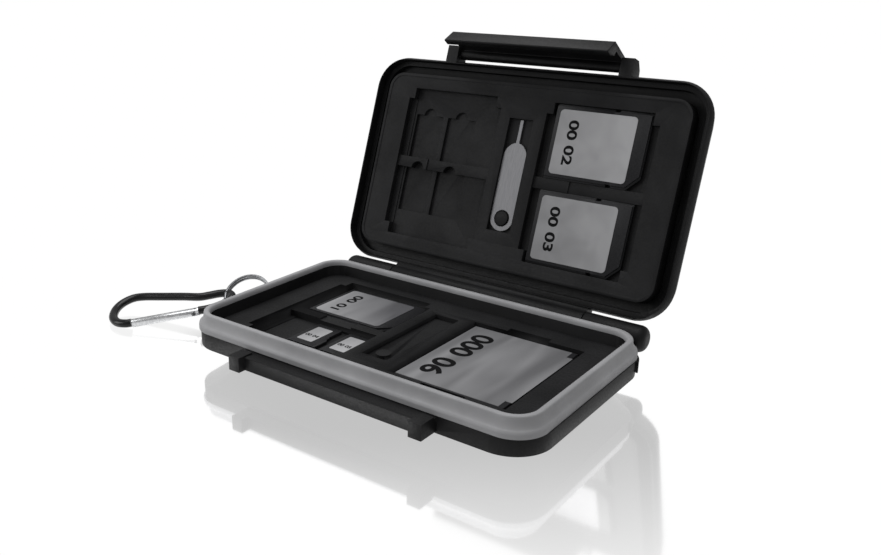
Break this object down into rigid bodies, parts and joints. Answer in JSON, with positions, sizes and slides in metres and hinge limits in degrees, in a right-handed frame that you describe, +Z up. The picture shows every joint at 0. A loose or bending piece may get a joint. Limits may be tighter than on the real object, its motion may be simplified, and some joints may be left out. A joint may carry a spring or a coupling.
{
  "type": "memory card case",
  "caption": "Slim hinged protective case for memory cards, shown open, with a sealing ring, front latch, card trays, cards, eject tool, split ring and snap hook.",
  "frame": {"origin": "centre of the base's outline on its flat underside", "axes": "+X to the right along the hinge, +Y back to the hinge, +Z up out of the open base"},
  "size_m": [0.1729, 0.1152, 0.0954],
  "materials": {
    "case_plastic": "fine moulded texture, near black",
    "tray_plastic": "soft matt, near black",
    "seal_elastomer": "smooth matt mid-grey elastomer",
    "card_plastic": "satin dark grey",
    "label_light": "satin film, light grey fade",
    "label_mid": "satin film, mid-grey fade",
    "steel": "plain drawn or stamped steel",
    "hook_black": "smooth black lacquer",
    "gate_metal": "drawn rod, satin"
  },
  "bodies": {
    "base": {"base_shell": "case_plastic", "seal_ring": "seal_elastomer", "base_tray": "tray_plastic", "hinge_pin": "steel"},
    "lid": {"lid_shell": "case_plastic", "lid_tray": "tray_plastic", "latch_pin": "steel"},
    "latch_lever": {"latch": "case_plastic"},
    "sd_base": {"sd_card_base": "card_plastic", "sd_label_base": "label_light"},
    "sd_lid_upper": {"sd_card_lid_upper": "card_plastic", "sd_label_lid_upper": "label_mid"},
    "sd_lid_lower": {"sd_card_lid_lower": "card_plastic", "sd_label_lid_lower": "label_mid"},
    "micro_left": {"micro_card_left": "card_plastic", "micro_label_left": "label_light"},
    "micro_right": {"micro_card_right": "card_plastic", "micro_label_right": "label_light"},
    "cf": {"cf_card": "card_plastic", "cf_label": "label_light"},
    "tool": {"sim_tool": "steel"},
    "ring": {"split_ring": "steel"},
    "hook": {"hook_body": "hook_black", "gate_rivet": "steel"},
    "gate": {"hook_gate": "gate_metal", "gate_spring": "steel"}
  },
  "joints": [
    {"name": "lid_hinge", "type": "hinge", "parent": "base", "child": "lid", "pos_m": [0, 0.04106, 0.01208], "axis": [1, 0, 0], "range_deg": [0, 109]},
    {"name": "latch_hinge", "type": "hinge", "parent": "lid", "child": "latch_lever", "pos_m": [0, 0.06994, 0.08706], "axis": [1, 0, 0], "range_deg": [-95, 14.7]},
    {"name": "lift_sd_base", "type": "slide", "parent": "base", "child": "sd_base", "axis": [0, 0, -1], "range_m": [-0.008, 0]},
    {"name": "lift_micro_left", "type": "slide", "parent": "base", "child": "micro_left", "axis": [0, 0, -1], "range_m": [-0.008, 0]},
    {"name": "lift_micro_right", "type": "slide", "parent": "base", "child": "micro_right", "axis": [0, 0, -1], "range_m": [-0.008, 0]},
    {"name": "lift_cf", "type": "slide", "parent": "base", "child": "cf", "axis": [0, 0, -1], "range_m": [-0.008, 0]},
    {"name": "lift_sd_lid_upper", "type": "slide", "parent": "lid", "child": "sd_lid_upper", "axis": [0, 0.9455, -0.3256], "range_m": [-0.008, 0]},
    {"name": "lift_sd_lid_lower", "type": "slide", "parent": "lid", "child": "sd_lid_lower", "axis": [0, 0.9455, -0.3256], "range_m": [-0.008, 0]},
    {"name": "lift_tool", "type": "slide", "parent": "lid", "child": "tool", "axis": [0, 0.9455, -0.3256], "range_m": [-0.008, 0]},
    {"name": "ring_swing", "type": "hinge", "parent": "base", "child": "ring", "pos_m": [-0.06413, 0.0012, 0.00765], "axis": [0, 1, 0], "range_deg": [0, 26]},
    {"name": "hook_swing", "type": "hinge", "parent": "ring", "child": "hook", "pos_m": [-0.07914, -0.005, 0.00746], "axis": [0, 0, 1], "range_deg": [-20, 20]},
    {"name": "gate_hinge", "type": "hinge", "parent": "hook", "child": "gate", "pos_m": [-0.07982, -0.01489, 0.00526], "axis": [0.029, 0.2153, -0.9761], "range_deg": [0, 25], "stiffness_Nm_per_rad": 0.01}
  ]
}
